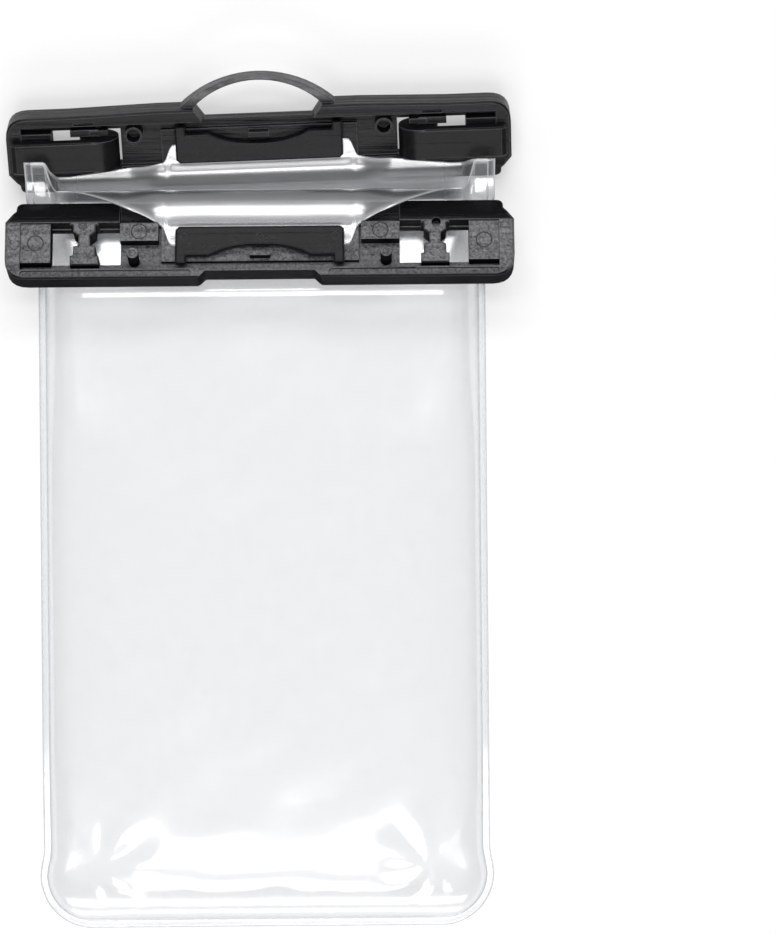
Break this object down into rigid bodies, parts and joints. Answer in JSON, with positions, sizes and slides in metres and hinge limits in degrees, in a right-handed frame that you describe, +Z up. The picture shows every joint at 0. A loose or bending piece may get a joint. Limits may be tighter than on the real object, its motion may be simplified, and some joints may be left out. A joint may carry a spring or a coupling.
{
  "type": "waterproof phone pouch",
  "caption": "Clear film pouch for a phone, lying open: a flat bag clamped in black moulded jaws with windows, flip-up latch levers, retainer bars and an arched lanyard loop.",
  "frame": {"origin": "centre of the bounding box in plan, at the level of the surface the pouch lies on", "axes": "+X to the right across the pouch, +Y from the bottom seam to the lanyard loop, +Z up from the back film to the front film"},
  "size_m": [0.1238, 0.2098, 0.0238],
  "materials": {
    "jaw_plastic": "satin moulded black with fine drag marks",
    "bar_plastic": "satin moulded black",
    "latch_plastic": "smooth satin black",
    "clear_film": "clear, slightly milky soft film with a gloss"
  },
  "bodies": {
    "pouch": {"back_film": "clear_film", "front_film": "clear_film", "rear_jaw": "jaw_plastic", "front_jaw": "jaw_plastic", "rear_retainer": "bar_plastic", "front_retainer": "bar_plastic"},
    "left_lever": {"left_latch": "latch_plastic"},
    "right_lever": {"right_latch": "latch_plastic"}
  },
  "joints": [
    {"name": "left_latch_hinge", "type": "hinge", "parent": "pouch", "child": "left_lever", "pos_m": [-0.03902, 0.08628, 0.00963], "axis": [-0.0267, 0.8984, 0.4384], "range_deg": [0, 95]},
    {"name": "right_latch_hinge", "type": "hinge", "parent": "pouch", "child": "right_lever", "pos_m": [0.03894, 0.0886, 0.00963], "axis": [0.0267, -0.8984, -0.4384], "range_deg": [0, 95]}
  ]
}
